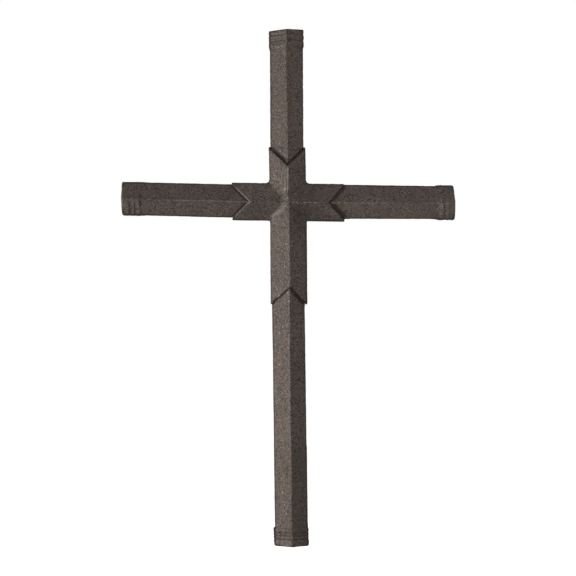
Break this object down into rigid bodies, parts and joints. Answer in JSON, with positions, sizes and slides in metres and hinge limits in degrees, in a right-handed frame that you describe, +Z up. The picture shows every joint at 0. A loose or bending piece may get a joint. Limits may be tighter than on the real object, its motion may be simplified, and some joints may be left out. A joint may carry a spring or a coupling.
{
  "type": "wrought iron cross",
  "caption": "Flat-backed memorial cross of ridged iron bars with a swallow-tailed sleeve over the crossing and ringed ends, for fixing upright on a headstone or wall.",
  "frame": {"origin": "the middle of the crossing, on the flat back that goes against the wall or stone", "axes": "+Z up the cross to its top arm, +X to the viewer's right along the side arms, +Y into the wall; the ridged front faces -Y"},
  "size_m": [0.2582, 0.0154, 0.4008],
  "materials": {
    "iron": "matt, fine sand-cast grain with a dark brown-grey patina, a little brighter on the worn ridges"
  },
  "bodies": {
    "root": {"cross": "iron"}
  },
  "joints": []
}
